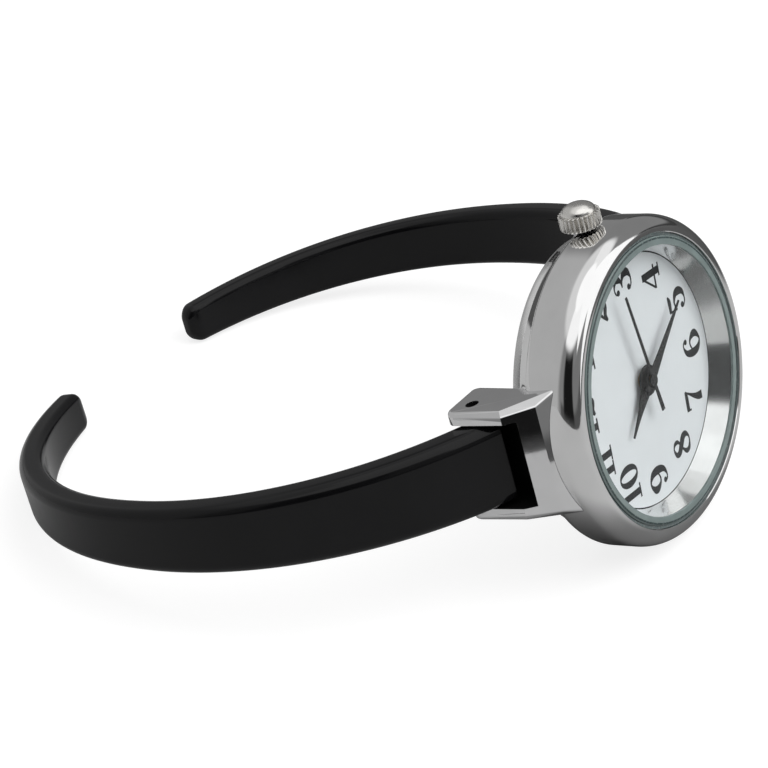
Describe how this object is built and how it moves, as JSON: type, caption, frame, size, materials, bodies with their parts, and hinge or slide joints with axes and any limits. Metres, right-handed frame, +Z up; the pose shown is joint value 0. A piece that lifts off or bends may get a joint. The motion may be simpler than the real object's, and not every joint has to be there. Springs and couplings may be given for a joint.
{
  "type": "cuff watch",
  "caption": "Round quartz watch head on a stiff open cuff, its tapering gloss arms sprung on hinges in faceted end pieces, with a fluted crown and a geared movement inside.",
  "frame": {"origin": "middle of the bounding box's underside, on the table the watch lies on", "axes": "+X from the 12 o'clock arm to the 6 o'clock arm, +Y from the watch head to the arm tips, +Z up, towards the crown; the dial faces -Y and leans back"},
  "size_m": [0.0638, 0.0618, 0.0297],
  "materials": {
    "polished_steel": "mirror polish",
    "back_steel": "satin with a polished rim",
    "crown_nickel": "polished warm nickel",
    "pin_steel": "turned",
    "spring_steel": "bright wire",
    "mineral_glass": "clear, polished bevel",
    "clear_nylon": "translucent grey",
    "dial_white": "satin cool white",
    "black_gloss": "high gloss black",
    "hand_black": "satin black",
    "seal_rubber": "matt",
    "white_plastic": "moulded",
    "plate_plastic": "moulded",
    "train_brass": "cut and plated",
    "bridge_steel": "stamped",
    "battery_steel": "pressed",
    "board_green": "lacquered",
    "coil_copper": "enamelled wire",
    "soft_iron": "annealed"
  },
  "bodies": {
    "head": {"case_middle": "polished_steel", "stem_tube": "pin_steel", "glass": "mineral_glass", "glass_gasket": "clear_nylon", "reflector_ring": "polished_steel", "dial": "dial_white", "case_back": "back_steel", "case_back_gasket": "seal_rubber", "end_piece_12": "polished_steel", "end_piece_6": "polished_steel", "hinge_pin_12": "pin_steel", "hinge_pin_6": "pin_steel", "hinge_spring_12": "spring_steel", "hinge_spring_6": "spring_steel", "movement_ring": "white_plastic", "main_plate": "plate_plastic", "train_bridge": "bridge_steel", "bridge_screws": "bridge_steel", "battery": "battery_steel", "battery_strap": "train_brass", "circuit_board": "board_green", "quartz_crystal": "bridge_steel", "coil": "coil_copper", "stator": "soft_iron"},
    "arm_12": {"arm_12": "black_gloss", "knuckle_12": "pin_steel"},
    "arm_6": {"arm_6": "black_gloss", "knuckle_6": "pin_steel"},
    "stem_slide": {"setting_lever": "train_brass"},
    "crown_group": {"crown": "crown_nickel", "winding_stem": "pin_steel", "crown_gasket": "seal_rubber"},
    "seconds": {"second_wheel": "train_brass", "second_hand": "hand_black"},
    "minutes": {"centre_wheel": "train_brass", "cannon_pinion": "train_brass", "minute_hand": "hand_black"},
    "hours": {"hour_wheel": "train_brass", "hour_hand": "hand_black"},
    "third": {"third_wheel": "train_brass"},
    "motion": {"minute_wheel": "train_brass"},
    "intermediate": {"intermediate_wheel": "train_brass"},
    "rotor_group": {"rotor": "soft_iron"}
  },
  "joints": [
    {"name": "arm_12_hinge", "type": "hinge", "parent": "head", "child": "arm_12", "pos_m": [-0.01484, -0.01951, 0.01272], "axis": [0, 0.2144, 0.9768], "range_deg": [0, 20], "stiffness_Nm_per_rad": 0.02, "springref_deg": -28.65},
    {"name": "arm_6_hinge", "type": "hinge", "parent": "head", "child": "arm_6", "pos_m": [0.01484, -0.01951, 0.01272], "axis": [0, -0.2144, -0.9768], "range_deg": [0, 20], "stiffness_Nm_per_rad": 0.02, "springref_deg": -28.65},
    {"name": "crown_pull", "type": "slide", "parent": "head", "child": "stem_slide", "axis": [0, 0.2144, 0.9768], "range_m": [0, 0.001]},
    {"name": "crown_turn", "type": "hinge", "parent": "stem_slide", "child": "crown_group", "pos_m": [0, -0.02165, 0.02343], "axis": [0, 0.2144, 0.9768], "continuous": true},
    {"name": "seconds_turn", "type": "hinge", "parent": "head", "child": "seconds", "pos_m": [0, -0.02609, 0.01416], "axis": [0, 0.9768, -0.2144], "continuous": true},
    {"name": "minutes_turn", "type": "hinge", "parent": "head", "child": "minutes", "pos_m": [0, -0.02609, 0.01416], "axis": [0, 0.9768, -0.2144], "continuous": true},
    {"name": "hours_turn", "type": "hinge", "parent": "head", "child": "hours", "pos_m": [0, -0.02609, 0.01416], "axis": [0, 0.9768, -0.2144], "continuous": true},
    {"name": "third_turn", "type": "hinge", "parent": "head", "child": "third", "pos_m": [-0.00234, -0.02323, 0.01555], "axis": [0, 0.9768, -0.2144], "continuous": true},
    {"name": "motion_turn", "type": "hinge", "parent": "head", "child": "motion", "pos_m": [0, -0.02447, 0.01688], "axis": [0, 0.9768, -0.2144], "continuous": true},
    {"name": "intermediate_turn", "type": "hinge", "parent": "head", "child": "intermediate", "pos_m": [0.00293, -0.02333, 0.01465], "axis": [0, 0.9768, -0.2144], "continuous": true},
    {"name": "rotor_turn", "type": "hinge", "parent": "head", "child": "rotor_group", "pos_m": [0.00471, -0.02299, 0.01524], "axis": [0, 0.9768, -0.2144], "continuous": true}
  ],
  "couplings": [
    {"joint": "minutes_turn", "follows": "seconds_turn", "ratio": 0.016667},
    {"joint": "hours_turn", "follows": "seconds_turn", "ratio": 0.0013889},
    {"joint": "third_turn", "follows": "seconds_turn", "ratio": -0.13333},
    {"joint": "motion_turn", "follows": "seconds_turn", "ratio": -0.0055556},
    {"joint": "intermediate_turn", "follows": "seconds_turn", "ratio": -5},
    {"joint": "rotor_turn", "follows": "seconds_turn", "ratio": 30}
  ]
}
